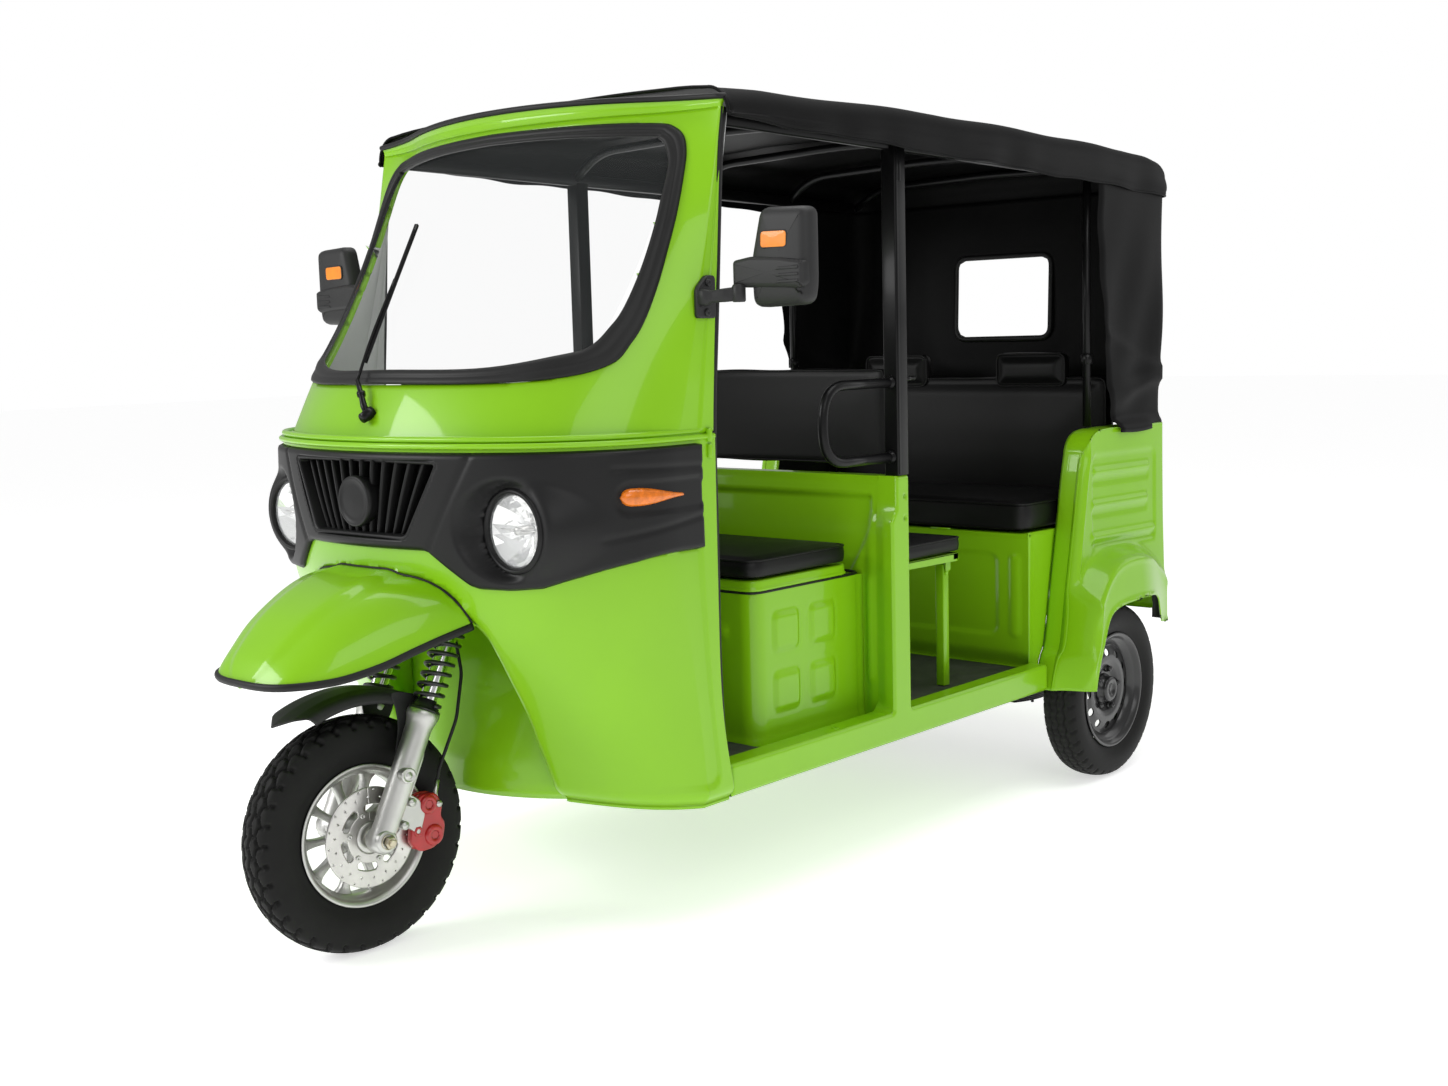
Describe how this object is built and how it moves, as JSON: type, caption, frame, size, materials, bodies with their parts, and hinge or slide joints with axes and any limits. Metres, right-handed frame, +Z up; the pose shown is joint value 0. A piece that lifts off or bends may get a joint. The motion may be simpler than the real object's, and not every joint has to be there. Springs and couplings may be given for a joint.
{
  "type": "auto rickshaw",
  "caption": "Electric auto rickshaw with a steered front wheel, open sides, fabric canopy, driver seat, rear bench and rear-facing folding seat.",
  "frame": {"origin": "on the ground under the middle of the vehicle's bounding box", "axes": "+X to the vehicle's left, +Y to its back, +Z up; the nose points along -Y"},
  "size_m": [1.7432, 3.042, 1.945],
  "materials": {
    "green_sheet": "gloss",
    "black_trim": "satin",
    "black_plastic": "matte",
    "black_rubber": "matte",
    "black_steel": "satin",
    "black_vinyl": "satin",
    "canopy_cloth": "matte",
    "clear_glass": "gloss",
    "lamp_lens": "gloss",
    "amber_lens": "gloss",
    "red_lens": "gloss",
    "cast_alloy": "satin",
    "spring_steel": "satin",
    "disc_steel": "brushed",
    "red_caliper": "gloss",
    "tyre_rubber": "matte"
  },
  "bodies": {
    "body": {"chassis_frame": "black_steel", "floor_pan": "green_sheet", "floor_mats": "black_rubber", "front_cowl": "green_sheet", "nose_fender": "green_sheet", "front_fascia": "black_trim", "grille": "black_trim", "headlamps": "lamp_lens", "turn_signals": "amber_lens", "windscreen_glass": "clear_glass", "windscreen_seal": "black_rubber", "roof_front_panel": "green_sheet", "dashboard": "black_plastic", "wiper": "black_steel", "mirrors": "black_plastic", "partition_panel": "green_sheet", "partition_backrest": "black_vinyl", "roof_frame": "black_steel", "grab_handles": "black_steel", "canopy": "canopy_cloth", "driver_seat_box": "green_sheet", "battery_pack": "black_plastic", "rear_panel": "green_sheet", "tail_lamps": "red_lens", "rear_bench_base": "green_sheet", "rear_bench_cushion": "black_vinyl", "rear_bench_backrest": "black_vinyl", "rear_axle": "black_steel", "drive_motor": "cast_alloy", "leaf_springs": "black_steel", "side_frame_left": "green_sheet", "side_frame_right": "green_sheet", "rear_quarter_left": "green_sheet", "rear_quarter_right": "green_sheet"},
    "steering": {"steering_fork": "cast_alloy", "fork_sliders": "cast_alloy", "fork_springs": "spring_steel", "handlebar": "black_steel", "front_mudguard": "black_plastic", "brake_caliper": "red_caliper", "brake_hose": "black_rubber"},
    "front_wheel": {"front_rim": "cast_alloy", "front_tyre": "tyre_rubber", "brake_disc": "disc_steel"},
    "rear_wheel_left": {"rear_rim_left": "black_steel", "rear_tyre_left": "tyre_rubber"},
    "rear_wheel_right": {"rear_rim_right": "black_steel", "rear_tyre_right": "tyre_rubber"},
    "driver_seat": {"driver_seat_lid": "green_sheet", "driver_seat_cushion": "black_vinyl"},
    "jump_seat": {"jump_seat_frame": "green_sheet", "jump_seat_cushion": "black_vinyl"},
    "jump_seat_leg": {"jump_seat_legs": "green_sheet"}
  },
  "joints": [
    {"name": "steering_turn", "type": "hinge", "parent": "body", "child": "steering", "pos_m": [0, -1.21336, 0.25184], "axis": [0, 0.454, 0.891], "range_deg": [-34.7, 45.3]},
    {"name": "front_wheel_spin", "type": "hinge", "parent": "steering", "child": "front_wheel", "pos_m": [-0.00369, -1.24885, 0.26992], "axis": [0.9957, -0.0823, 0.0419], "continuous": true},
    {"name": "rear_wheel_left_spin", "type": "hinge", "parent": "body", "child": "rear_wheel_left", "pos_m": [0.608, 1.071, 0.2675], "axis": [1, 0, 0], "continuous": true},
    {"name": "rear_wheel_right_spin", "type": "hinge", "parent": "body", "child": "rear_wheel_right", "pos_m": [-0.608, 1.071, 0.2675], "axis": [1, 0, 0], "continuous": true},
    {"name": "driver_seat_tip", "type": "hinge", "parent": "body", "child": "driver_seat", "pos_m": [0, -0.413, 0.742], "axis": [1, 0, 0], "range_deg": [0, 70]},
    {"name": "jump_seat_fold", "type": "hinge", "parent": "body", "child": "jump_seat", "pos_m": [0, 0.143, 0.752], "axis": [1, 0, 0], "range_deg": [0, 85]},
    {"name": "jump_leg_swing", "type": "hinge", "parent": "jump_seat", "child": "jump_seat_leg", "pos_m": [0, 0.447, 0.708], "axis": [1, 0, 0], "range_deg": [-85, 0]}
  ],
  "couplings": [
    {"joint": "jump_leg_swing", "follows": "jump_seat_fold", "ratio": -1}
  ]
}
